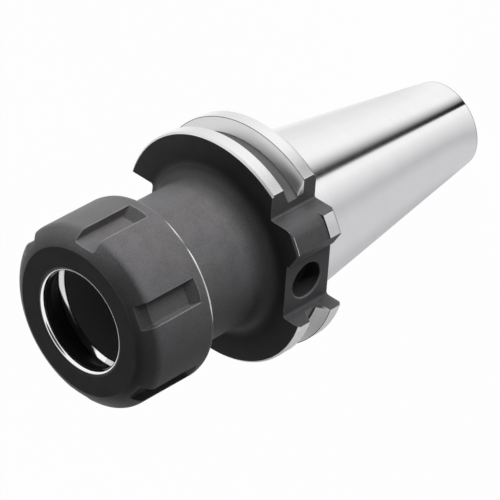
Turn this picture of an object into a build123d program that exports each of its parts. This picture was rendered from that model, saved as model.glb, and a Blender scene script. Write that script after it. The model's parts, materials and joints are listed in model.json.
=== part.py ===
from build123d import *
import os
from math import atan2, cos, radians, sin, sqrt, tan

os.makedirs("parts", exist_ok=True)

# A milling machine's tool holder with a steep taper and a collet chuck. It stands on the
# taper's small end, which is at the origin, with the clamping nut on top. All sizes are in
# millimetres, and +Z runs along the holder's axis towards the nut.

# Steep taper
taper_length = 68.4
gauge_diameter = 44.45
taper_rate = 7 / 24
taper_end_chamfer = 0.8

# Thread for the pull stud, drawn at its tapping diameter, and the bore that centres the stud
stud_pilot_diameter = 17.0
stud_pilot_depth = 5.0
stud_thread_diameter = 14.0
stud_thread_length = 30.0
coolant_bore_diameter = 12.0

# Flange with the gripper groove
flange_diameter = 63.55
flange_rear_gap = 3.2
flange_thickness = 15.9
flange_rear_chamfer = 1.0
flange_front_chamfer = 0.5
groove_centre = 11.4
groove_mouth = 7.5
groove_depth = 3.65
groove_angle = 60.0

# Drive slots, the data chip's hole in the floor of the one at -Y, and the square notch
slot_width = 16.1
chip_slot_floor = 25.0
plain_slot_floor = 22.8
slot_corner_radius = 0.8
chip_hole_diameter = 10.0
chip_hole_depth = 5.0
chip_hole_chamfer = 0.3
notch_wall = 18.5
notch_corner_radius = 0.6

# The tooth between the notch and the chip slot is plain, with a relieved top and side
tooth_relief = 0.45
tooth_side_start = 0.8
tooth_side_angle = 60.0
tooth_front_bevel = 0.5
tooth_corner_radius = 4.0

# Nose of the chuck, from the flange to the threaded end. The thread is drawn at its pitch
# diameter, less half of the running clearance.
nose_diameter = 39.9
nose_end = 57.2
nose_root_radius = 5.0
nose_end_chamfer = 1.0
thread_pitch_diameter = 39.03
thread_relief_width = 2.4
thread_relief_diameter = 37.6
nose_shoulder = 44.1

# Collet seat
seat_mouth_diameter = 33.0
seat_half_angle = 8.0
seat_length = 31.0
seat_mouth_chamfer = 1.0
shank_bore_depth = 46.0
shank_bore_diameter = 23.5
drill_point_angle = 118.0

# Clamping nut
nut_diameter = 50.0
nut_length = 22.5
nut_shoulder_gap = 0.3
nut_face_diameter = 40.6
nut_bevel_length = 3.8
nut_bevel_bulge = 0.45
nut_bevel_blend_radius = 2.5
nut_rear_bevel_length = 1.0
nut_rear_bevel_depth = 0.25
nut_slot_count = 6
nut_slot_width = 6.5
nut_slot_floor = 22.2
nut_slot_rear_wall = 2.9
nut_slot_end_slope = 38.0
nut_slot_corner_radius = 0.5
nut_thread_length = 13.0
nut_thread_chamfer = 0.8
thread_runout_diameter = 39.8
thread_runout_width = 1.4
nut_front_wall = 3.5
nut_mouth_chamfer = 0.3

# Clamping ring, which turns in the nut. Its lip shows in the nut's mouth and falls into the bore in
# a round, and the cone that presses on the collet runs from the lip to the ring's rear.
ring_body_diameter = 38.1
ring_mouth_diameter = 27.0
ring_lip_wall = 0.9
ring_lip_fall = 1.2
ring_face_recess = 0.3
ring_body_length = 5.0
ring_cone_half_angle = 30.0
ring_edge_chamfer = 0.2
running_clearance = 0.05

# Round wire that holds the ring in the nut
wire_diameter = 1.2
wire_gap_angle = 12.0
wire_from_shoulder = 2.4

# Heights above the small end
gauge_plane = taper_length
flange_rear = gauge_plane + flange_rear_gap
flange_front = flange_rear + flange_thickness
groove_height = gauge_plane + groove_centre
groove_rear_edge = groove_height - groove_mouth / 2
nose_top = gauge_plane + nose_end
shoulder_height = gauge_plane + nose_shoulder
nut_rear = shoulder_height + nut_shoulder_gap
nut_front = nut_rear + nut_length
ring_shoulder = nut_front - nut_front_wall
ring_rear = ring_shoulder - running_clearance - ring_body_length
ring_front = nut_front - ring_face_recess

# Radii used more than once
gauge_radius = gauge_diameter / 2
small_radius = gauge_radius - taper_length * taper_rate / 2
flange_radius = flange_diameter / 2
nose_radius = nose_diameter / 2
thread_radius = thread_pitch_diameter / 2
nut_radius = nut_diameter / 2
lip_radius = ring_mouth_diameter / 2 + ring_lip_wall
tooth_radius = flange_radius - tooth_relief
reach = flange_diameter


def turned(*points):
    """A closed outline of (radius, height) points, turned about the holder's axis."""
    return revolve(Plane.XZ * make_face(Polyline(*points, close=True)), Axis.Z)


def plug(radius, low, high):
    """A plain cylinder about the axis between two heights."""
    return Pos(0, 0, low) * Cylinder(radius, high - low, align=(Align.CENTER, Align.CENTER, Align.MIN))


def hollow(outer, inner, low, high):
    """A plain tube about the axis, as a cutter for grooves."""
    return plug(outer, low, high) - plug(inner, low, high)


def body_outline():
    """The holder's outside as turned, before the groove, slots and notch are cut."""
    relief_top = shoulder_height + thread_relief_width
    relief = thread_relief_diameter / 2
    male = thread_radius - running_clearance / 2
    outline = turned(
        (0, 0),
        (small_radius - taper_end_chamfer, 0),
        (small_radius + taper_end_chamfer * taper_rate / 2, taper_end_chamfer),
        (gauge_radius, gauge_plane),
        (gauge_radius, flange_rear),
        (flange_radius - flange_rear_chamfer, flange_rear),
        (flange_radius, flange_rear + flange_rear_chamfer),
        (flange_radius, flange_front - flange_front_chamfer),
        (flange_radius - flange_front_chamfer, flange_front),
        (nose_radius, flange_front),
        (nose_radius, shoulder_height),
        (relief, shoulder_height),
        (relief, relief_top),
        (male, relief_top + male - relief),
        (male, nose_top - nose_end_chamfer),
        (male - nose_end_chamfer, nose_top),
        (0, nose_top),
    )
    root = [e for e in outline.edges().filter_by(GeomType.CIRCLE)
            if abs(e.radius - nose_radius) < 0.01 and abs(e.center().Z - flange_front) < 0.01]
    return fillet(root, nose_root_radius)


def gripper_groove():
    """The turned V groove with a flat bottom that a tool changer's arm holds."""
    bottom = groove_mouth / 2 - groove_depth * tan(radians(groove_angle / 2))
    over = 1.0
    over_half = groove_mouth / 2 + over * tan(radians(groove_angle / 2))
    return turned(
        (flange_radius - groove_depth, groove_height - bottom),
        (flange_radius + over, groove_height - over_half),
        (flange_radius + over, groove_height + over_half),
        (flange_radius - groove_depth, groove_height + bottom),
    )


def tooth_block():
    """The space of the tooth between the chip slot's centre line and the notch."""
    return Pos(0, -reach / 2, flange_rear) * Box(
        notch_wall, reach / 2, flange_thickness * 2, align=(Align.MIN, Align.CENTER, Align.MIN))


def drive_slot(floor, side):
    """One drive slot across the flange's full thickness, with rounded floor corners."""
    cutter = Pos(0, side * floor, flange_rear - 1) * Box(
        slot_width, reach, flange_thickness + 2,
        align=(Align.CENTER, Align.MIN if side > 0 else Align.MAX, Align.MIN))
    corners = [e for e in cutter.edges().filter_by(Axis.Z) if abs(e.center().Y - side * floor) < 0.01]
    return fillet(corners, slot_corner_radius)


def notch():
    """The square notch beside the chip slot, with its walls along X and Y."""
    cutter = Pos(notch_wall, -notch_wall, flange_rear - 1) * Box(
        reach, reach, flange_thickness + 2, align=(Align.MIN, Align.MAX, Align.MIN))
    corner = [e for e in cutter.edges().filter_by(Axis.Z)
              if abs(e.center().X - notch_wall) < 0.01 and abs(e.center().Y + notch_wall) < 0.01]
    return fillet(corner, notch_corner_radius)


def tooth_corner():
    """What rounds the tooth's corner at the notch, from the rear land to the front."""
    across = notch_wall - tooth_corner_radius
    down = sqrt((tooth_radius - tooth_corner_radius) ** 2 - across ** 2)
    turn = atan2(down, across)
    height = flange_front + 1 - groove_rear_edge
    sector = make_face(Polyline((0, 0), (reach, 0), (reach * cos(turn), -reach * sin(turn)), close=True))
    cutter = extrude(sector, height) - plug(tooth_corner_radius, 0, height)
    return Pos(across, -down, groove_rear_edge) * cutter


def tooth_cuts():
    """What is taken off the tooth: its lowered top with the front edge and corner, and its slot side."""
    top = hollow(reach, tooth_radius, groove_rear_edge, flange_front + 1)
    bevel = turned(
        (tooth_radius - tooth_front_bevel, flange_front + 0.01),
        (tooth_radius + 2, flange_front - tooth_front_bevel - 2),
        (tooth_radius + 2, flange_front + 0.01),
    )
    start = chip_slot_floor + tooth_side_start
    run = (reach - start) * tan(radians(tooth_side_angle))
    side = Pos(0, 0, flange_rear - 1) * extrude(make_face(Polyline(
        (slot_width / 2, -start), (slot_width / 2, -reach), (slot_width / 2 + run, -reach), close=True)),
        flange_thickness + 2)
    return (top + bevel + tooth_corner()) & tooth_block(), side


def chip_hole():
    """The blind hole for a data chip in the floor of the slot at -Y."""
    radius = chip_hole_diameter / 2
    middle = (flange_rear + flange_front) / 2
    hole = Cylinder(radius, chip_hole_depth * 2) + Cone(
        radius, radius + chip_hole_chamfer, chip_hole_chamfer, align=(Align.CENTER, Align.CENTER, Align.MAX))
    return Pos(0, -chip_slot_floor, middle) * Rot(90, 0, 0) * hole


def collet_seat():
    """The tapered seat for the collet and the bore behind it for a tool's shank."""
    mouth = seat_mouth_diameter / 2
    bore = shank_bore_diameter / 2
    deep = nose_top - shank_bore_depth
    tip = bore / tan(radians(drill_point_angle / 2))
    slope = tan(radians(seat_half_angle))
    taper_end = mouth - seat_length * slope
    edge = mouth - seat_mouth_chamfer * slope
    return turned(
        (0, deep - tip),
        (bore, deep),
        (bore, nose_top - seat_length - (taper_end - bore)),
        (taper_end, nose_top - seat_length),
        (mouth, nose_top),
        (mouth, nose_top + 1),
        (0, nose_top + 1),
    ) + turned(
        (0, nose_top - seat_mouth_chamfer),
        (edge, nose_top - seat_mouth_chamfer),
        (edge + seat_mouth_chamfer, nose_top),
        (edge + seat_mouth_chamfer, nose_top + 1),
        (0, nose_top + 1),
    )


def stud_bore():
    """The threaded bore for a pull stud in the small end, and the way through for coolant."""
    pilot = stud_pilot_diameter / 2
    thread = stud_thread_diameter / 2
    coolant = coolant_bore_diameter / 2
    thread_top = stud_pilot_depth + stud_thread_length
    return turned(
        (0, -1),
        (pilot, -1),
        (pilot, stud_pilot_depth),
        (thread, stud_pilot_depth + pilot - thread),
        (thread, thread_top),
        (coolant, thread_top + thread - coolant),
        (coolant, nose_top - shank_bore_depth),
        (0, nose_top - shank_bore_depth),
    )


def holder_body():
    """Taper, flange and chuck nose, turned from one bar, with every cut in them."""
    tooth_top, tooth_side = tooth_cuts()
    body = body_outline() - (gripper_groove() - tooth_block())
    body -= tooth_top
    body -= drive_slot(chip_slot_floor, -1)
    body -= drive_slot(plain_slot_floor, 1)
    body -= tooth_side
    body -= notch()
    body -= chip_hole()
    body -= collet_seat()
    body -= stud_bore()
    return body


def nut_outline():
    """The nut's outside: flat face, bulged bevel that runs softly into the rim, and a small rear bevel."""
    face = nut_face_diameter / 2
    low = nut_front - nut_bevel_length
    run, drop = nut_radius - face, nut_bevel_length
    span = sqrt(run ** 2 + drop ** 2)
    bulge = (
        (face + nut_radius) / 2 + nut_bevel_bulge * drop / span,
        (nut_front + low) / 2 + nut_bevel_bulge * run / span,
    )
    front = Polyline((0, nut_front), (face, nut_front))
    bevel = ThreePointArc((face, nut_front), bulge, (nut_radius, low))
    rest = Polyline(
        (nut_radius, low),
        (nut_radius, nut_rear + nut_rear_bevel_length),
        (nut_radius - nut_rear_bevel_depth, nut_rear),
        (0, nut_rear),
        (0, nut_front),
    )
    profile = make_face([front, bevel, rest])
    corner = profile.vertices().sort_by_distance((nut_radius, low))[0]
    return revolve(Plane.XZ * fillet(corner, nut_bevel_blend_radius), Axis.Z)


def nut_inside():
    """The nut's bore from the rear: thread, run-out, the ring's pocket and the mouth."""
    female = thread_radius + running_clearance / 2
    pocket = ring_body_diameter / 2 + running_clearance
    mouth = lip_radius + running_clearance
    thread_top = nut_rear + nut_thread_length
    return turned(
        (0, nut_rear - 1),
        (female + nut_thread_chamfer + 1, nut_rear - 1),
        (female, nut_rear + nut_thread_chamfer),
        (female, thread_top),
        (thread_runout_diameter / 2, thread_top),
        (thread_runout_diameter / 2, thread_top + thread_runout_width),
        (pocket, thread_top + thread_runout_width),
        (pocket, ring_shoulder),
        (mouth, ring_shoulder),
        (mouth, nut_front - nut_mouth_chamfer),
        (mouth + nut_mouth_chamfer + 1, nut_front + 1),
        (0, nut_front + 1),
    )


def spanner_slot():
    """One slot for the nut's spanner, open at the front, with a sloped rear end."""
    rear = nut_rear + nut_slot_rear_wall
    depth = nut_radius - nut_slot_floor
    over = 2.0
    slope = tan(radians(nut_slot_end_slope))
    profile = Plane.XZ * make_face(Polyline(
        (nut_radius + over, rear - over * slope),
        (nut_slot_floor, rear + depth * slope),
        (nut_slot_floor, nut_front + over),
        (nut_radius + over, nut_front + over),
        close=True))
    cutter = extrude(profile, nut_slot_width / 2, both=True)
    corners = [e for e in cutter.edges().filter_by(Axis.Z) if abs(e.center().X - nut_slot_floor) < 0.01]
    return fillet(corners, nut_slot_corner_radius)


def wire_groove(outer, inner):
    """The groove that the retaining wire lies in, between two radii."""
    half = wire_diameter / 2 + running_clearance
    middle = ring_shoulder - wire_from_shoulder
    return hollow(outer, inner, middle - half, middle + half)


def wire_ring_radius():
    """The wire's own centre line lies where the ring and the nut meet."""
    return (ring_body_diameter + running_clearance) / 2


def clamping_nut():
    """The round nut with its spanner slots."""
    nut = nut_outline() - nut_inside()
    for step in range(nut_slot_count):
        nut -= Rot(0, 0, 360 / nut_slot_count * step) * spanner_slot()
    deep = wire_ring_radius() + wire_diameter / 2 + running_clearance
    return nut - wire_groove(deep, deep - wire_diameter)


def clamping_ring():
    """The bare steel ring in the nut's mouth, with the cone that presses on the collet."""
    body = ring_body_diameter / 2
    mouth = ring_mouth_diameter / 2
    edge = ring_edge_chamfer
    shoulder = ring_shoulder - running_clearance
    wide = mouth + ring_body_length * tan(radians(ring_cone_half_angle))
    lip = EllipticalCenterArc(
        (lip_radius, ring_front - ring_lip_fall), ring_lip_wall, ring_lip_fall, start_angle=90, arc_size=90)
    rest = Polyline(
        (mouth, ring_front - ring_lip_fall),
        (mouth, shoulder),
        (wide, ring_rear),
        (body - edge, ring_rear),
        (body, ring_rear + edge),
        (body, shoulder - edge),
        (body - edge, shoulder),
        (lip_radius, shoulder),
        (lip_radius, ring_front),
    )
    ring = revolve(Plane.XZ * make_face([lip, rest]), Axis.Z)
    deep = wire_ring_radius() - wire_diameter / 2 - running_clearance
    return ring - wire_groove(deep + wire_diameter, deep)


def retaining_wire():
    """An open ring of round wire that keeps the clamping ring in the nut."""
    section = Plane.XZ * Pos(wire_ring_radius(), ring_shoulder - wire_from_shoulder) * Circle(wire_diameter / 2)
    return Rot(0, 0, wire_gap_angle / 2) * revolve(section, Axis.Z, 360 - wire_gap_angle)


pieces = {
    "holder_body": holder_body(),
    "clamping_nut": clamping_nut(),
    "clamping_ring": clamping_ring(),
    "retaining_wire": retaining_wire(),
}
for name, solid in pieces.items():
    export_step(solid, f"parts/{name}.step")
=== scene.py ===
import json
import math
from collections import namedtuple

import bpy
from mathutils import Matrix, Vector


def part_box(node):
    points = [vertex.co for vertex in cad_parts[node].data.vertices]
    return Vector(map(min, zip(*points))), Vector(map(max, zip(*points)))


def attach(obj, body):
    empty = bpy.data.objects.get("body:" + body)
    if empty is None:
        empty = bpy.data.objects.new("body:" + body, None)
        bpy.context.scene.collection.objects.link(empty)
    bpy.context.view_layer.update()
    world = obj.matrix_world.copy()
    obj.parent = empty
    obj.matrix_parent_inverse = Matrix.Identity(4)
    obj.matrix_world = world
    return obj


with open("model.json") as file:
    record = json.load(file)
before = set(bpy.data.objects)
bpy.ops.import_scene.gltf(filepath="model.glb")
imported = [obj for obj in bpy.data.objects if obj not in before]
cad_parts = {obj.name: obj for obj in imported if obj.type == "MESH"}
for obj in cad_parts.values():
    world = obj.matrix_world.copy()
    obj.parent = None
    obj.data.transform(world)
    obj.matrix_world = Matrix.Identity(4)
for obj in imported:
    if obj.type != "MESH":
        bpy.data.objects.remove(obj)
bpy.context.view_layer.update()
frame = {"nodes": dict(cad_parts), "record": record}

bl_info = {
    "name": "Collet Chuck Holder",
    "version": (1, 0, 0),
    "blender": (4, 5, 0),
    "location": "3D View > Sidebar > Chuck Holder",
    "description": "Cuts the fine threads of the holder, finishes its steel and sets its stage",
    "category": "Object",
}

# Metres. Heights and sizes of the pieces, from the frame
MM = 0.001
MOUNTS = {mount["name"]: mount for mount in frame["record"]["mounts"]}
GAUGE_PLANE = MOUNTS["spindle_taper"]["pos_m"][2]
NOSE_TOP = MOUNTS["collet_seat"]["pos_m"][2]
STUD_THREAD = MOUNTS["stud_thread"]
STUD_BORE_RADIUS = STUD_THREAD["dims"]["r_mm"] * MM
STUD_BORE_TOP = STUD_THREAD["pos_m"][2] + STUD_THREAD["dims"]["length_mm"] * MM / 2
CHIP_HOLE_RADIUS = MOUNTS["chip_hole"]["dims"]["r_mm"] * MM
CHIP_HOLE_HEIGHT = MOUNTS["chip_hole"]["pos_m"][2]
FLANGE_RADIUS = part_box("holder_body")[1].x
NUT_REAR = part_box("clamping_nut")[0].z
NUT_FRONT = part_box("clamping_nut")[1].z
NUT_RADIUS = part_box("clamping_nut")[1].x
RING_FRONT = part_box("clamping_ring")[1].z

# The nose's thread: how far the ridge's foot lies in the nose, its height as a share of the pitch,
# its crest's width as a share of its foot's, its turns, and the steps in a turn
THREAD_SINK = 0.03 * MM
THREAD_HEIGHT = 0.3
THREAD_CREST = 0.25
THREAD_TURNS = 5
THREAD_STEPS = 96

# Roughness of the finishes
OXIDE_ROUGHNESS = 0.47
GROUND_ROUGHNESS = 0.18
POLISHED_ROUGHNESS = 0.1

# Degrees around the axis between which the groove's flank is painted dimmer: painted shade
FLANK_PAINTED_DIM = (-25, 0)

# Radii between which the painted shade on the flange's front fades out, and of the fine tool line
# on the nut's face
FRONT_SHADE_FADES = (23 * MM, 31 * MM)
TOOL_LINE = (20.15 * MM, 20.45 * MM)

# Radii between which the nut's bevel starts, and between which it ends: where its painted shade
# lies
BEVEL_STARTS = (19.8 * MM, 21 * MM)
BEVEL_ENDS = (25.1 * MM, 24.2 * MM)

# Degrees around the axis between which the bare edge of the collet seat is painted narrower, wider,
# brighter and broken by a dark gap: a painted reflection
SEAT_NARROWS = (100, 120)
SEAT_WIDENS = (160, 172)
SEAT_BRIGHTENS = (100, 160)
PAINTED_GAP_STARTS = (120, 141)
PAINTED_GAP_ENDS = (168, 160)

# Ways across the axis in which a painted light or shade is strongest: painted light on the flange's
# front, the widest part of the nut's bare band, widened there as a painted highlight, and painted
# shade on the nut's bevel
PAINTED_FLANGE_LIGHT_WAY = (0.5, 0.87)
BAND_HIGHLIGHT_WAY = (0.651, -0.759)
PAINTED_BEVEL_SHADE_WAY = (0.34, -0.94)

# What metal sees dark on the floor. Starts and ends are degrees around the holder from the camera's
# side, and the strip fades between two distances from the axis
STRIP_STARTS = (15.5, 18.5)
STRIP_ENDS = (26, 56)
STRIP_FALL = 1.7
STRIP_DEPTH = 0.985
STRIP_FADES = (85 * MM, 150 * MM)
STRIP_FAR_SHARE = 0.17
DIP_STARTS = (4, -34)
DIP_ENDS = (-180, -152)
DIP_DEPTH = 0.45
CALM_STARTS = (-30, -52)
CALM_ENDS = (-90, -120)
CALM_DEPTH = 0.12
FAR_STARTS = (60, 110)
FAR_ENDS = (118, 142)
FAR_DEPTH = 0.16
DIP_TINT = (0.95, 0.93, 1, 1)

# A floor point's own angle as a share of the wider one at which the taper shows it: the share far
# off, and what it loses near by
SEEN_ANGLE = 0.95
SEEN_ANGLE_LOSS = 5.53 * MM

# The world's dark patches: degrees from the camera's side, elevation, and the inner and outer angle
PATCH_BEHIND = (195, 45, 25, 43)
PATCH_ABOVE = (8, 44, 26, 36)
PATCH_DEPTH = 0.93
MATT_LIGHT = 0.106

# Lamps: degrees from the camera's side, elevation, distance, width and height
KEY_LAMP = (42, -1.5, 0.6, 0.75, 0.09)
FILL_LAMP = (190, 12, 1.1, 0.9, 0.5)

DEGREES = 180 / math.pi
WHITE = (1, 1, 1, 1)


class HolderSizes(bpy.types.PropertyGroup):
    """Sizes of the holder that its finishes and threads follow."""

    taper_rate: bpy.props.FloatProperty(
        name="Taper rate", description="Diameter gained for each length along the taper",
        default=7 / 24)
    gauge_radius: bpy.props.FloatProperty(
        name="Gauge radius", description="Radius of the taper at its wide end", default=22.225 * MM,
        unit="LENGTH")
    flange_rear_gap: bpy.props.FloatProperty(
        name="Flange gap", description="From the gauge plane to the flange",
        default=3.2 * MM, unit="LENGTH")
    flange_thickness: bpy.props.FloatProperty(
        name="Flange thickness", description="Length of the flange",
        default=15.9 * MM, unit="LENGTH")
    flange_chamfer: bpy.props.FloatProperty(
        name="Flange chamfer", description="Chamfer at the flange's front",
        default=0.5 * MM, unit="LENGTH")
    groove_centre: bpy.props.FloatProperty(
        name="Groove centre", description="From the gauge plane to the groove's middle",
        default=11.4 * MM, unit="LENGTH")
    groove_mouth: bpy.props.FloatProperty(
        name="Groove mouth", description="Width of the groove at the rim",
        default=7.5 * MM, unit="LENGTH")
    groove_depth: bpy.props.FloatProperty(
        name="Groove depth", description="Depth of the groove below the rim", default=3.65 * MM,
        unit="LENGTH")
    groove_angle: bpy.props.FloatProperty(
        name="Groove angle", description="Angle between the groove's flanks",
        default=math.radians(60), subtype="ANGLE")
    notch_wall: bpy.props.FloatProperty(
        name="Notch wall", description="From the axis to the notch's walls", default=18.5 * MM,
        unit="LENGTH")
    slot_width: bpy.props.FloatProperty(
        name="Slot width", description="Width of a drive slot", default=16.1 * MM, unit="LENGTH")
    slot_floor: bpy.props.FloatProperty(
        name="Slot floor", description="From the axis to the floor of the slot with the chip hole",
        default=25.0 * MM, unit="LENGTH")
    seat_radius: bpy.props.FloatProperty(
        name="Seat radius", description="Radius of the collet seat at the nose", default=16.5 * MM,
        unit="LENGTH")
    inside_depth: bpy.props.FloatProperty(
        name="Inside depth", description="From the nose's top to below the shank bore",
        default=47 * MM, unit="LENGTH")
    thread_pitch: bpy.props.FloatProperty(
        name="Thread pitch", description="Pitch of the thread between nose and nut",
        default=1.5 * MM, unit="LENGTH")
    thread_radius: bpy.props.FloatProperty(
        name="Thread radius", description="Pitch radius of the thread on the nose",
        default=19.515 * MM, unit="LENGTH")
    thread_start: bpy.props.FloatProperty(
        name="Thread start", description="From the nose's top down to the lowest turn",
        default=10.4 * MM, unit="LENGTH")
    nut_thread_length: bpy.props.FloatProperty(
        name="Nut thread", description="Length of the thread in the nut",
        default=13.0 * MM, unit="LENGTH")
    stud_pitch: bpy.props.FloatProperty(
        name="Stud pitch", description="Pitch of the pull stud's thread",
        default=2.0 * MM, unit="LENGTH")


class HolderColours(bpy.types.PropertyGroup):
    """Colours of the finishes."""

    steel: bpy.props.FloatVectorProperty(
        name="Ground steel", description="Bare ground steel", default=(0.93, 0.93, 0.932),
        subtype="COLOR", size=3, min=0, max=1)
    oxide: bpy.props.FloatVectorProperty(
        name="Black oxide", description="Satin black oxide", default=(0.075, 0.073, 0.075),
        subtype="COLOR", size=3, min=0, max=1)


class StageSettings(bpy.types.PropertyGroup):
    """Camera, floor and light."""

    azimuth: bpy.props.FloatProperty(
        name="Azimuth", description="Turn of the camera around the axis, from the chip hole's side",
        default=math.radians(46.61), subtype="ANGLE")
    elevation: bpy.props.FloatProperty(
        name="Elevation", description="Camera height over the horizon", default=math.radians(37.17),
        subtype="ANGLE")
    roll: bpy.props.FloatProperty(
        name="Roll", description="Turn of the camera about its own axis",
        default=math.radians(-118.68), subtype="ANGLE")
    distance: bpy.props.FloatProperty(
        name="Distance", description="From the camera to the point it looks at", default=1.037,
        unit="LENGTH")
    lens: bpy.props.FloatProperty(
        name="Lens", description="Focal length in millimetres", default=290.28)
    aim: bpy.props.FloatVectorProperty(
        name="Aim", description="The point that the camera looks at",
        default=(-0.00649, -0.00031, 0.07434), subtype="TRANSLATION", unit="LENGTH", size=3)
    floor: bpy.props.FloatVectorProperty(
        name="Floor", description="Colour of the floor",
        default=(0.90, 0.90, 0.90), subtype="COLOR",
        size=3, min=0, max=1)
    floor_lift: bpy.props.FloatProperty(
        name="Floor lift", description="Share of plain white in the floor that the camera sees",
        default=0.98, min=0, max=1)
    key: bpy.props.FloatProperty(
        name="Key lamp", description="Power of the key lamp in watts", default=7.4)
    fill: bpy.props.FloatProperty(
        name="Fill lamp", description="Power of the lamp behind in watts", default=5.0)


class Signal:
    """One output socket of a finish. Arithmetic on it adds Math nodes."""

    def __init__(self, finish, socket):
        self.finish = finish
        self.socket = socket

    def _math(self, operation, *values):
        return self.finish.node("ShaderNodeMath", {"operation": operation}, values)

    def __add__(self, other):
        return self._math("ADD", self, other)

    def __radd__(self, other):
        return self._math("ADD", other, self)

    def __sub__(self, other):
        return self._math("SUBTRACT", self, other)

    def __rsub__(self, other):
        return self._math("SUBTRACT", other, self)

    def __mul__(self, other):
        return self._math("MULTIPLY", self, other)

    def __rmul__(self, other):
        return self._math("MULTIPLY", other, self)

    def __truediv__(self, other):
        return self._math("DIVIDE", self, other)

    def __rtruediv__(self, other):
        return self._math("DIVIDE", other, self)

    def __pow__(self, other):
        return self._math("POWER", self, other)

    def __gt__(self, other):
        return self._math("GREATER_THAN", self, other)

    def __lt__(self, other):
        return self._math("LESS_THAN", self, other)


Place = namedtuple("Place", "point x y z radius")


class Finish:
    """The nodes that make one material, or the world."""

    def __init__(self, owner):
        owner.use_nodes = True
        self.owner = owner
        self.tree = owner.node_tree
        self.tree.nodes.clear()

    def node(self, kind, settings=None, values=(), output=0):
        """Adds a node, sets its settings, then gives its sockets values or links."""
        made = self.tree.nodes.new(kind)
        for name, value in (settings or {}).items():
            setattr(made, name, value)
        pairs = values.items() if isinstance(values, dict) else enumerate(values)
        for key, value in pairs:
            self.feed(made.inputs[key], value)
        return Signal(self, made.outputs[output]) if made.outputs else None

    def feed(self, socket, value):
        """Links a signal to a socket, or sets the socket to a value."""
        if isinstance(value, Signal):
            self.tree.links.new(value.socket, socket)
        else:
            socket.default_value = value

    def place(self):
        """Object coordinates in metres: the point, its x, y and z, and its radius from the axis."""
        point = self.node("ShaderNodeTexCoord", output="Object")
        split = self.node("ShaderNodeSeparateXYZ", values=(point,))
        x, y, z = (Signal(self, split.socket.node.outputs[i]) for i in range(3))
        return Place(point, x, y, z, (x * x + y * y) ** 0.5)

    def smaller(self, first, second):
        return self.node("ShaderNodeMath", {"operation": "MINIMUM"}, (first, second))

    def larger(self, first, *others):
        """The largest of two or more signals."""
        for other in others:
            first = self.node("ShaderNodeMath", {"operation": "MAXIMUM"}, (first, other))
        return first

    def between(self, value, low, high):
        """One where a value lies between two limits, and nought elsewhere."""
        return (value > low) * (value < high)

    def angle(self, across, ahead):
        """The angle in radians of a point around the axis."""
        return self.node("ShaderNodeMath", {"operation": "ARCTAN2"}, (across, ahead))

    def dot(self, first, second):
        return self.node("ShaderNodeVectorMath", {"operation": "DOT_PRODUCT"}, (first, second), 1)

    def combine(self, x, y, z):
        return self.node("ShaderNodeCombineXYZ", values=(x, y, z))

    def noise(self, vector, scale, detail=2.0, roughness=0.5):
        return self.node("ShaderNodeTexNoise", values={
            "Vector": vector, "Scale": scale, "Detail": detail, "Roughness": roughness})

    def step(self, value, low, high, out_low=0.0, out_high=1.0, smooth="LINEAR"):
        """Maps a value from one range to another and holds it at both ends."""
        return self.node("ShaderNodeMapRange", {"interpolation_type": smooth, "clamp": True}, {
            "Value": value, "From Min": low, "From Max": high,
            "To Min": out_low, "To Max": out_high})

    def mix(self, amount, first, second, blend="MIX"):
        """Mixes two colours."""
        mixed = self.node("ShaderNodeMix", {"data_type": "RGBA", "blend_type": blend})
        sockets = mixed.socket.node.inputs
        for socket, value in ((sockets[0], amount), (sockets[6], first), (sockets[7], second)):
            self.feed(socket, value)
        return Signal(self, mixed.socket.node.outputs[2])

    def blend(self, amount, first, second):
        """Mixes two shaders."""
        return self.node("ShaderNodeMixShader", values=(amount, first, second))

    def bump(self, height, strength, distance, normal):
        return self.node("ShaderNodeBump", values={
            "Height": height, "Strength": strength, "Distance": distance, "Normal": normal})

    def path(self, *kinds):
        """One where the ray is of any of these kinds, and nought elsewhere."""
        sockets = self.node("ShaderNodeLightPath").socket.node.outputs
        total = Signal(self, sockets[kinds[0]])
        for kind in kinds[1:]:
            total = total + Signal(self, sockets[kind])
        return total

    def surface(self, shader, output="ShaderNodeOutputMaterial"):
        self.node(output, values={"Surface": shader})
        return self.owner


def rgba(colour, factor=1.0):
    return tuple(min(1.0, channel * factor) for channel in colour) + (1.0,)


def toward(place, way):
    """How far a point lies in a way across the axis."""
    return place.x * way[0] + place.y * way[1]


def flange_rear(sizes):
    return GAUGE_PLANE + sizes.flange_rear_gap


def flange_front(sizes):
    return flange_rear(sizes) + sizes.flange_thickness


def turned_lines(finish, place, fineness):
    """Noise in fine lines that run around the axis, as a lathe or a grinding wheel leaves them."""
    around = 40.0
    across = place.z + place.radius * 0.7
    return finish.noise(
        finish.combine(place.x * around, place.y * around, across * fineness), 1.0, 3.0, 0.6)


def thread_bump(finish, place, pitch, depth, inside, edges):
    """The turns of an inner thread as a bump, where the mask is one."""
    turns = place.z / pitch - finish.angle(place.y, place.x) / math.tau + 1.0
    wave = finish.node("ShaderNodeMath", {"operation": "PINGPONG"}, (turns, 0.5))
    return finish.bump(wave * inside * 2.0, 1.0, depth, edges)


def rounded(finish, size):
    """A normal that rounds the sharp edges a little, as a stone or a tumbler does."""
    return finish.node("ShaderNodeBevel", {"samples": 6}, {"Radius": size})


def edge_wear(finish, size):
    """One along sharp outer edges, and nought on faces and in inner corners."""
    flat = finish.node("ShaderNodeNewGeometry", output="Normal")
    bend = finish.dot(rounded(finish, size), flat)
    room = finish.node("ShaderNodeAmbientOcclusion", {"samples": 6}, {"Distance": size * 3}, 1)
    return finish.step(bend, 0.985, 0.88) * finish.step(room, 0.72, 0.95)


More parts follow.
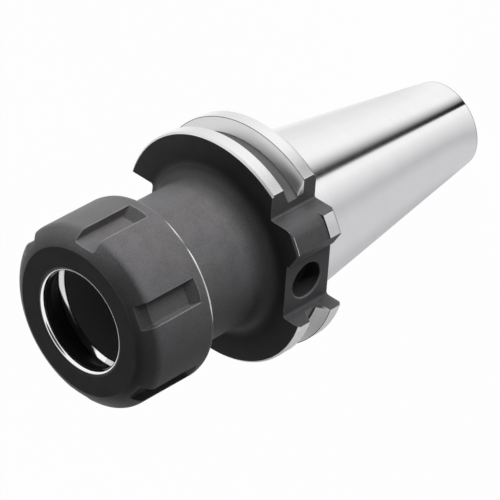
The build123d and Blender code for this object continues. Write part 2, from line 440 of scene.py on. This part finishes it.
def ground_steel(finish, place, colour, roughness, edges, spread=0.75, dull=0.0):
    """Bare ground steel with fine lines around the axis. Its highlights spread along the axis."""
    lines = turned_lines(finish, place, 8000.0)
    grain = finish.noise(place.point, 5200.0, 2.0, 0.5)
    cloud = finish.noise(
        finish.combine(place.x * 90.0, place.y * 90.0, place.z * 160.0), 1.0, 3.0, 0.5)
    tone = finish.mix(finish.step(lines, 0.3, 0.7), rgba(colour, 0.96), rgba(colour, 1.02))
    tone = finish.mix(finish.step(cloud, 0.35, 0.7, 0.0, 0.35), tone, rgba(colour, 0.93))
    return finish.node("ShaderNodeBsdfPrincipled", values={
        "Base Color": tone,
        "Metallic": 1.0,
        "Roughness": finish.step(lines, 0.25, 0.75, roughness - 0.03, roughness + 0.03) + dull,
        "Anisotropic": spread,
        "Anisotropic Rotation": 0.25,
        "Normal": finish.bump(lines * 0.4 + grain * 0.6, 0.12, 0.012 * MM, edges),
    })


def black_oxide(finish, place, colour, roughness, edges, wear_and_painted_light=0.0, painted_light_and_shade=WHITE):
    """Satin black oxide over turned steel: a faint mottle, fine tool lines, edges rubbed bare, and
    painted light and painted shade where they are given.
    """
    lines = turned_lines(finish, place, 3000.0)
    mottle = finish.noise(place.point, 260.0, 4.0, 0.6)
    grain = finish.noise(place.point, 3200.0, 2.0, 0.5)
    blotch = finish.noise(place.point, 75.0, 3.0, 0.55)
    brown = (colour[0] * 1.05, colour[1] * 1.02, colour[2] * 0.98)
    violet = (colour[0] * 0.95, colour[1] * 0.95, colour[2] * 1.02)
    tone = finish.mix(finish.step(blotch, 0.38, 0.62), rgba(brown), rgba(violet))
    tone = finish.mix(finish.step(mottle, 0.3, 0.7), rgba(colour, 0.72), tone)
    tone = finish.mix(finish.step(grain, 0.35, 0.65, 0.0, 0.55), tone, rgba(colour, 1.5))
    tone = finish.mix(wear_and_painted_light, tone, rgba(colour, 4.6))
    return finish.node("ShaderNodeBsdfPrincipled", values={
        "Base Color": finish.mix(1.0, tone, painted_light_and_shade, "MULTIPLY"),
        "Metallic": 0.0,
        "Roughness": finish.step(mottle, 0.3, 0.7, roughness - 0.05, roughness + 0.05),
        "Specular IOR Level": 0.18,
        "Normal": finish.bump(lines * 0.5 + grain * 0.5, 0.25, 0.03 * MM, edges),
    })


def taper_mask(finish, place, sizes):
    """The ground taper, less bare at the small end's edge."""
    small_radius = sizes.gauge_radius - GAUGE_PLANE * sizes.taper_rate / 2
    wall = finish.smaller(place.z * (sizes.taper_rate / 2) + small_radius, sizes.gauge_radius)
    taper = (place.radius > wall - 0.3 * MM) * (place.z < flange_rear(sizes) - 0.02 * MM)
    return taper * finish.step(place.z, 0.95 * MM, 1.1 * MM, 0.3, 1.0)


def groove_masks(finish, place, sizes):
    """The groove's rear flank, its whole floor, and the floor without its corners."""
    centre = GAUGE_PLANE + sizes.groove_centre
    rear, front = centre - sizes.groove_mouth / 2, centre + sizes.groove_mouth / 2
    bottom = FLANGE_RADIUS - sizes.groove_depth
    slope = math.tan(sizes.groove_angle / 2)
    sunk = (FLANGE_RADIUS - place.radius) * slope
    flank = (place.z < rear + sunk + 0.04 * MM) * (place.z > rear)
    flank = flank * finish.between(place.radius, bottom + 0.35 * MM, FLANGE_RADIUS - 0.2 * MM)
    floor = finish.between(place.radius, bottom - 0.03 * MM, bottom + 0.03 * MM)
    corner = sizes.groove_depth * slope + 0.25 * MM
    middle = floor * finish.between(place.z, rear + corner, front - corner)
    return flank, floor * finish.between(place.z, rear, front), middle


def seat_edge_mask(finish, place, sizes, turn):
    """The bare edge of the collet seat, painted narrower, dimmer and broken by a dark gap on part
    of its round: a painted reflection.
    """
    mouth = sizes.seat_radius
    wide, narrow, narrowest = mouth + 0.8 * MM, mouth + 0.1 * MM, mouth - 0.2 * MM
    edge = finish.between(place.radius, mouth - 0.3 * MM, mouth + 0.9 * MM)
    edge = edge * (place.z > NOSE_TOP - 1.15 * MM)
    # Painted reflection: the edge's width, its dark gap and its dimmer side follow where it shows
    # bright or dark.
    painted_width = finish.larger(
        finish.step(turn, *SEAT_NARROWS, wide, narrow),
        finish.step(turn, *SEAT_WIDENS, narrowest, wide))
    edge = edge * finish.step(place.radius, painted_width - 0.1 * MM, painted_width + 0.1 * MM, 1.0, 0.0)
    blotch = finish.step(turn, *PAINTED_GAP_STARTS) * finish.step(turn, *PAINTED_GAP_ENDS)
    return edge * (1 - blotch) * finish.step(turn, *SEAT_BRIGHTENS, 0.75, 1.0)


def chip_masks(finish, place, sizes):
    """The chip hole's wall, and the rim around its mouth."""
    height = place.z - CHIP_HOLE_HEIGHT
    chip = (place.x * place.x + height * height) ** 0.5
    depth = place.y + sizes.slot_floor
    wall = (chip < CHIP_HOLE_RADIUS + 0.05 * MM) * finish.between(depth, 0.3 * MM, 7 * MM)
    rim = finish.between(chip, CHIP_HOLE_RADIUS - 0.15 * MM, CHIP_HOLE_RADIUS + 0.4 * MM)
    return wall, rim * finish.between(depth, -1 * MM, 0.4 * MM)


def painted_root_light_and_shade(finish, place, sizes):
    """Painted light and shade on the nose and the flange's front: painted shade darkest where the
    two meet, and painted light on one side of the flange's front.
    """
    front = flange_front(sizes)
    # Painted light: one side of the flange's front is painted lighter.
    lift = finish.step(toward(place, PAINTED_FLANGE_LIGHT_WAY) / place.radius, 0.3, 0.9, 0.0, 0.5)
    lift = lift * (place.z < front + 0.4 * MM)
    # Painted shade in the crease where the nose meets the flange's front.
    return finish.larger(
        finish.step(place.z, front + 1.0 * MM, front + 7.5 * MM, 0.18),
        finish.step(place.radius, *FRONT_SHADE_FADES, 0.36, 1.0) + lift)


def holder_finish(sizes, colours):
    """The holder body: ground taper, rim and groove flank, and black oxide elsewhere."""
    finish = Finish(bpy.data.materials.new("holder_body_finish"))
    place = finish.place()
    turn = finish.angle(place.y, place.x) * DEGREES
    front = flange_front(sizes)
    flange = place.z < front - 0.05 * MM
    tooth = finish.between(place.x, 0.0, sizes.notch_wall + 0.02 * MM) * (place.y < 0.0)
    flank, groove_floor, floor_middle = groove_masks(finish, place, sizes)
    chip_wall, chip_rim = chip_masks(finish, place, sizes)

    rim = (place.radius > FLANGE_RADIUS - 0.03 * MM) * (place.z > flange_rear(sizes))
    front_chamfer = ((place.radius > FLANGE_RADIUS - sizes.flange_chamfer - 0.01 * MM)
                     * (place.z > front - sizes.flange_chamfer - 0.03 * MM))
    # Painted shade: the flank is painted dimmer over part of its round.
    groove = flank * finish.step(turn, *FLANK_PAINTED_DIM, 1.0, 0.78) + floor_middle * 0.08
    groove = groove * (1 - tooth)
    seat_edge = seat_edge_mask(finish, place, sizes, turn)
    bare = finish.larger(taper_mask(finish, place, sizes), rim, groove, seat_edge, front_chamfer)

    stud = (place.radius < STUD_BORE_RADIUS + 0.1 * MM) * (place.z < STUD_BORE_TOP)
    edges = thread_bump(finish, place, sizes.stud_pitch, 1.0 * MM, stud, rounded(finish, 0.2 * MM))
    dull = front_chamfer * 0.35 + flank * 0.12
    steel = ground_steel(finish, place, colours.steel, GROUND_ROUGHNESS, edges, dull=dull)
    polished = ground_steel(finish, place, colours.steel, POLISHED_ROUGHNESS, edges, spread=0.0)
    steel = finish.blend(seat_edge, steel, polished)

    # Painted light: inside the seat and bore the oxide is painted much lighter, against the shade
    # in the hollow.
    inside = place.radius < sizes.seat_radius - 0.2 * MM
    inside = inside * (place.z > NOSE_TOP - sizes.inside_depth)
    wear_and_painted_light = finish.larger(edge_wear(finish, 0.3 * MM) * 0.5, chip_rim * 0.3, inside)
    # Painted shade: the oxide is painted darker in the chip hole's wall, on the groove's floor and
    # on the tooth's side.
    tooth_side = tooth * flange * (place.x > sizes.slot_width / 2 + 0.05 * MM)
    painted_light_and_shade = finish.larger(painted_root_light_and_shade(finish, place, sizes), flange)
    painted_light_and_shade = painted_light_and_shade * (1 - chip_wall * 0.45) * (1 - groove_floor * 0.5) * (1 - tooth_side * 0.3)
    oxide = black_oxide(finish, place, colours.oxide, OXIDE_ROUGHNESS, edges, wear_and_painted_light, painted_light_and_shade)
    return finish.surface(finish.blend(bare, oxide, steel))


def nut_finish(sizes, colours):
    """The clamping nut: black oxide with painted shade on one side of its bevel, and a bare band at
    its rear edge that is widened on one side as a painted highlight."""
    finish = Finish(bpy.data.materials.new("clamping_nut_finish"))
    place = finish.place()
    # The bare rear band is real; its width around the nut is a painted highlight, widest on one
    # side.
    width = finish.step(toward(place, BAND_HIGHLIGHT_WAY) / NUT_RADIUS, 0.8, 0.9, 0.05 * MM, 0.6 * MM)
    bare = (place.z < width + NUT_REAR) * (place.radius > NUT_RADIUS - 0.45 * MM)
    thread = place.radius < sizes.thread_radius + 0.1 * MM
    thread = thread * (place.z < NUT_REAR + sizes.nut_thread_length)
    edges = rounded(finish, 0.35 * MM)
    edges = thread_bump(finish, place, sizes.thread_pitch, 0.8 * MM, thread, edges)
    steel = ground_steel(finish, place, colours.steel, 0.24, edges)
    tool_line = finish.between(place.radius, *TOOL_LINE) * (place.z > NUT_FRONT - 3 * MM)
    wear_and_painted_light = finish.larger(edge_wear(finish, 0.5 * MM) * 0.5, tool_line * 0.1)
    # Painted shade: one side of the nut's bevel is painted darker.
    painted_dark_side = finish.step(toward(place, PAINTED_BEVEL_SHADE_WAY) / place.radius, 0.3, 0.8)
    bevel = finish.step(place.radius, *BEVEL_STARTS) * finish.step(place.radius, *BEVEL_ENDS)
    painted_light_and_shade = 1 - painted_dark_side * bevel * (place.z > NUT_FRONT - 5 * MM) * 0.55
    oxide = black_oxide(finish, place, colours.oxide, OXIDE_ROUGHNESS, edges, wear_and_painted_light, painted_light_and_shade)
    return finish.surface(finish.blend(bare, oxide, steel))


def ring_finish(colours):
    """The clamping ring: its lip is bare steel, and below the lip it is black oxide, painted darker
    still as shade in the nut's mouth.
    """
    finish = Finish(bpy.data.materials.new("clamping_ring_finish"))
    place = finish.place()
    edges = rounded(finish, 0.1 * MM)
    lip = place.z > RING_FRONT - 1.3 * MM
    steel = ground_steel(finish, place, colours.steel, 0.08, edges, spread=0.0)
    # Painted shade: below the lip the oxide is painted at 0.4 of its colour.
    oxide = black_oxide(finish, place, [channel * 0.4 for channel in colours.oxide], 0.5, edges)
    return finish.surface(finish.blend(lip, oxide, steel))


def wire_finish(colours):
    """The retaining wire, bare steel all over."""
    finish = Finish(bpy.data.materials.new("retaining_wire_finish"))
    return finish.surface(
        ground_steel(finish, finish.place(), colours.steel, 0.3, rounded(finish, 0.1 * MM)))


def nose_thread_finish(colours):
    """The nose's thread, black all over."""
    finish = Finish(bpy.data.materials.new("nose_thread_finish"))
    return finish.surface(
        black_oxide(finish, finish.place(), colours.oxide, 0.42, rounded(finish, 0.05 * MM)))


def dress(name, material):
    """Gives a node of the frame its finish."""
    slots = frame["nodes"][name].data.materials
    slots.clear()
    slots.append(material)


def deselect():
    for item in bpy.context.selected_objects:
        item.select_set(False)
    bpy.context.view_layer.objects.active = None


def select_points(piece, test):
    """Selects the points of a piece in edit mode whose place passes the test."""
    bpy.ops.mesh.select_all(action="DESELECT")
    bpy.ops.mesh.select_mode(type="VERT")
    bpy.ops.object.mode_set(mode="OBJECT")
    for point in piece.data.vertices:
        point.select = test(point.co)
    bpy.ops.object.mode_set(mode="EDIT")


def wind_thread(name, sizes, low):
    """A ridge wound around the nose: the half of a thread that stands out of its pitch cylinder."""
    pitch = sizes.thread_pitch
    foot = sizes.thread_radius - THREAD_SINK
    crest = foot + pitch * THREAD_HEIGHT
    middle = (foot + crest) / 2
    deselect()
    bpy.ops.mesh.primitive_plane_add(
        size=1, location=(middle, 0, low), rotation=(math.pi / 2, 0, 0))
    thread = bpy.context.object
    thread.name = name
    thread.scale = (crest - foot, pitch / 2, 1)
    bpy.ops.object.transform_apply(location=True, rotation=True, scale=True)
    bpy.ops.object.mode_set(mode="EDIT")
    select_points(thread, lambda point: point.x > middle)
    bpy.ops.transform.resize(value=(1, 1, THREAD_CREST))
    bpy.ops.mesh.select_all(action="SELECT")
    bpy.ops.mesh.delete(type="ONLY_FACE")
    bpy.ops.object.mode_set(mode="OBJECT")
    screw = thread.modifiers.new("winding", "SCREW")
    screw.axis = "Z"
    screw.screw_offset = pitch
    screw.iterations = THREAD_TURNS
    screw.steps = screw.render_steps = THREAD_STEPS
    bpy.ops.object.modifier_apply(modifier=screw.name)
    bpy.ops.object.mode_set(mode="EDIT")
    bpy.ops.mesh.select_mode(type="VERT")
    bpy.ops.mesh.select_all(action="DESELECT")
    bpy.ops.mesh.select_non_manifold()
    bpy.ops.transform.translate(value=(foot - crest, 0, 0))
    bpy.ops.mesh.fill_holes(sides=4)
    bpy.ops.mesh.select_all(action="SELECT")
    bpy.ops.mesh.normals_make_consistent(inside=False)
    bpy.ops.object.mode_set(mode="OBJECT")
    bpy.ops.object.shade_smooth_by_angle(angle=math.radians(35))
    return thread


def camera_side(settings):
    """The azimuth of the camera as seen from the holder."""
    return settings.azimuth - math.pi / 2


def direction(azimuth, elevation):
    return Vector((math.cos(azimuth) * math.cos(elevation), math.sin(azimuth) * math.cos(elevation),
                   math.sin(elevation)))


def floor_finish(settings):
    """A matt floor. The camera sees it white, and so does metal, but for dark parts around the
    holder."""
    finish = Finish(bpy.data.materials.new("floor_finish"))
    place = finish.place()
    side = camera_side(settings)
    ahead = place.x * math.cos(side) + place.y * math.sin(side)
    across = place.y * math.cos(side) - place.x * math.sin(side)
    turn = finish.angle(across, ahead) * DEGREES
    seen = turn / (SEEN_ANGLE - SEEN_ANGLE_LOSS / place.radius)
    strip = finish.step(seen, *STRIP_ENDS, 1.0, 0.0) ** STRIP_FALL
    strip = finish.step(seen, *STRIP_STARTS) * strip * STRIP_DEPTH
    strip = strip * finish.step(place.radius, *STRIP_FADES, 1.0, STRIP_FAR_SHARE)
    dip = finish.step(turn, *DIP_STARTS, 0.0, DIP_DEPTH) * finish.step(turn, *DIP_ENDS)
    calm = (finish.step(turn, *CALM_STARTS) - finish.step(turn, *CALM_ENDS)) * CALM_DEPTH
    far = finish.step(turn, *FAR_STARTS, 0.0, FAR_DEPTH) * finish.step(turn, *FAR_ENDS, 1.0, 0.0)
    mirrored = 1 - finish.larger(strip, dip - calm, far)

    camera = finish.path("Is Camera Ray")
    mirror = finish.path("Is Glossy Ray", "Is Transmission Ray")
    matt = finish.node("ShaderNodeBsdfDiffuse", values={"Color": rgba(settings.floor)})
    dark, plain, tinted = (
        finish.node("ShaderNodeEmission", values={"Color": colour, "Strength": strength})
        for colour, strength in ((WHITE, 0.0), (WHITE, 1.0), (DIP_TINT, 1.0)))
    glow = finish.blend(camera + mirror * mirrored, dark, finish.blend(dip * mirror, plain, tinted))
    return finish.surface(finish.blend(camera * settings.floor_lift + mirror, matt, glow))


def studio_world(settings):
    """White to the camera, and a weak light to matt surfaces. Metal sees it white too, but for a
    dark patch behind the holder and one above the camera."""
    finish = Finish(bpy.data.worlds.new("studio"))
    where = finish.node("ShaderNodeTexCoord", output="Generated")

    def patch(azimuth, elevation, inner, outer):
        """One within the inner angle of a direction, and nought beyond the outer."""
        azimuth, elevation, inner, outer = map(math.radians, (azimuth, elevation, inner, outer))
        near = finish.dot(where, direction(camera_side(settings) + azimuth, elevation))
        return finish.step(near, math.cos(outer), math.cos(inner), smooth="SMOOTHSTEP")

    camera = finish.path("Is Camera Ray", "Is Transmission Ray")
    mirror = finish.path("Is Glossy Ray")
    mirrored = 1 - finish.larger(patch(*PATCH_BEHIND), patch(*PATCH_ABOVE)) * PATCH_DEPTH
    level = camera + mirror * mirrored + (1 - camera) * (1 - mirror) * MATT_LIGHT
    sky = finish.node("ShaderNodeBackground", values={"Color": WHITE, "Strength": level})
    return finish.surface(sky, "ShaderNodeOutputWorld")


def add_lamp(name, side, shape, power):
    """A soft rectangular lamp that faces the holder and isn't mirrored in it."""
    azimuth, elevation, distance, width, height = shape
    way = direction(side + math.radians(azimuth), math.radians(elevation))
    bpy.ops.object.light_add(type="AREA", location=Vector((0, 0, GAUGE_PLANE)) + way * distance)
    lamp = bpy.context.object
    lamp.name = name
    lamp.rotation_euler = way.to_track_quat("Z", "Y").to_euler()
    lamp.data.shape = "RECTANGLE"
    lamp.data.size = width
    lamp.data.size_y = height
    lamp.data.energy = power
    lamp.visible_glossy = False


class CHUCK_OT_finish_body(bpy.types.Operator):
    """Give the holder body its ground steel and black oxide"""

    bl_idname = "chuck.finish_body"
    bl_label = "Finish Holder Body"

    def execute(self, context):
        scene = context.scene
        dress("holder_body", holder_finish(scene.holder_sizes, scene.holder_colours))
        return {"FINISHED"}


class CHUCK_OT_wind_nose_thread(bpy.types.Operator):
    """Wind the thread around the nose"""

    bl_idname = "chuck.wind_nose_thread"
    bl_label = "Wind Nose Thread"

    def execute(self, context):
        sizes = context.scene.holder_sizes
        low = NOSE_TOP - sizes.thread_start + sizes.thread_pitch / 2
        thread = wind_thread("nose_thread", sizes, low)
        thread.data.materials.append(nose_thread_finish(context.scene.holder_colours))
        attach(thread, "holder")
        return {"FINISHED"}


class CHUCK_OT_finish_nut(bpy.types.Operator):
    """Give the clamping nut its black oxide"""

    bl_idname = "chuck.finish_nut"
    bl_label = "Finish Clamping Nut"

    def execute(self, context):
        dress("clamping_nut", nut_finish(context.scene.holder_sizes, context.scene.holder_colours))
        return {"FINISHED"}


class CHUCK_OT_finish_ring(bpy.types.Operator):
    """Give the clamping ring its bare lip and its wire bare steel"""

    bl_idname = "chuck.finish_ring"
    bl_label = "Finish Clamping Ring"

    def execute(self, context):
        colours = context.scene.holder_colours
        dress("clamping_ring", ring_finish(colours))
        dress("retaining_wire", wire_finish(colours))
        return {"FINISHED"}


class CHUCK_OT_set_stage(bpy.types.Operator):
    """Lay the floor, hang the lamps and place the camera"""

    bl_idname = "chuck.set_stage"
    bl_label = "Set Stage"

    def execute(self, context):
        settings = context.scene.stage_settings
        self.floor(settings)
        self.lamps(settings)
        context.scene.world = studio_world(settings)
        self.camera(context, settings)
        context.scene.view_settings.view_transform = "Standard"
        return {"FINISHED"}

    def floor(self, settings):
        deselect()
        bpy.ops.mesh.primitive_plane_add(size=6)
        floor = bpy.context.object
        floor.name = "floor"
        floor.data.materials.append(floor_finish(settings))

    def lamps(self, settings):
        """A low key lamp beside the camera, and a fill lamp behind the holder."""
        side = camera_side(settings)
        add_lamp("key_lamp", side, KEY_LAMP, settings.key)
        add_lamp("fill_lamp", side, FILL_LAMP, settings.fill)

    def camera(self, context, settings):
        """Places the camera by its direction, roll and the point that it looks at."""
        back = direction(camera_side(settings), settings.elevation)
        level = Vector((math.cos(settings.azimuth), math.sin(settings.azimuth), 0))
        right = level * math.cos(settings.roll) + back.cross(level) * math.sin(settings.roll)
        up = back.cross(right)
        bpy.ops.object.camera_add()
        camera = bpy.context.object
        camera.name = "camera"
        pose = Matrix((right, up, back)).transposed().to_4x4()
        pose.translation = Vector(settings.aim) + back * settings.distance
        camera.matrix_world = pose
        camera.data.lens = settings.lens
        camera.data.sensor_width = 36
        camera.data.clip_start = 0.01
        context.scene.camera = camera


class CHUCK_PT_sidebar(bpy.types.Panel):
    """The holder's operators, in the order in which they are used"""

    bl_idname = "CHUCK_PT_sidebar"
    bl_label = "Chuck Holder"
    bl_space_type = "VIEW_3D"
    bl_region_type = "UI"
    bl_category = "Chuck Holder"

    def draw(self, context):
        for operator in OPERATORS:
            self.layout.operator(operator.bl_idname)


SETTINGS = {
    "holder_sizes": HolderSizes,
    "holder_colours": HolderColours,
    "stage_settings": StageSettings,
}
OPERATORS = (
    CHUCK_OT_finish_body,
    CHUCK_OT_wind_nose_thread,
    CHUCK_OT_finish_nut,
    CHUCK_OT_finish_ring,
    CHUCK_OT_set_stage,
)


def register():
    for item in (*SETTINGS.values(), *OPERATORS, CHUCK_PT_sidebar):
        bpy.utils.register_class(item)
    for name, group in SETTINGS.items():
        setattr(bpy.types.Scene, name, bpy.props.PointerProperty(type=group))


def unregister():
    for name in SETTINGS:
        delattr(bpy.types.Scene, name)
    for item in reversed((*SETTINGS.values(), *OPERATORS, CHUCK_PT_sidebar)):
        bpy.utils.unregister_class(item)


def main():
    """Runs every step."""
    register()
    bpy.ops.chuck.finish_body()
    bpy.ops.chuck.wind_nose_thread()
    bpy.ops.chuck.finish_nut()
    bpy.ops.chuck.finish_ring()
    bpy.ops.chuck.set_stage()


if __name__ == "__main__":
    main()
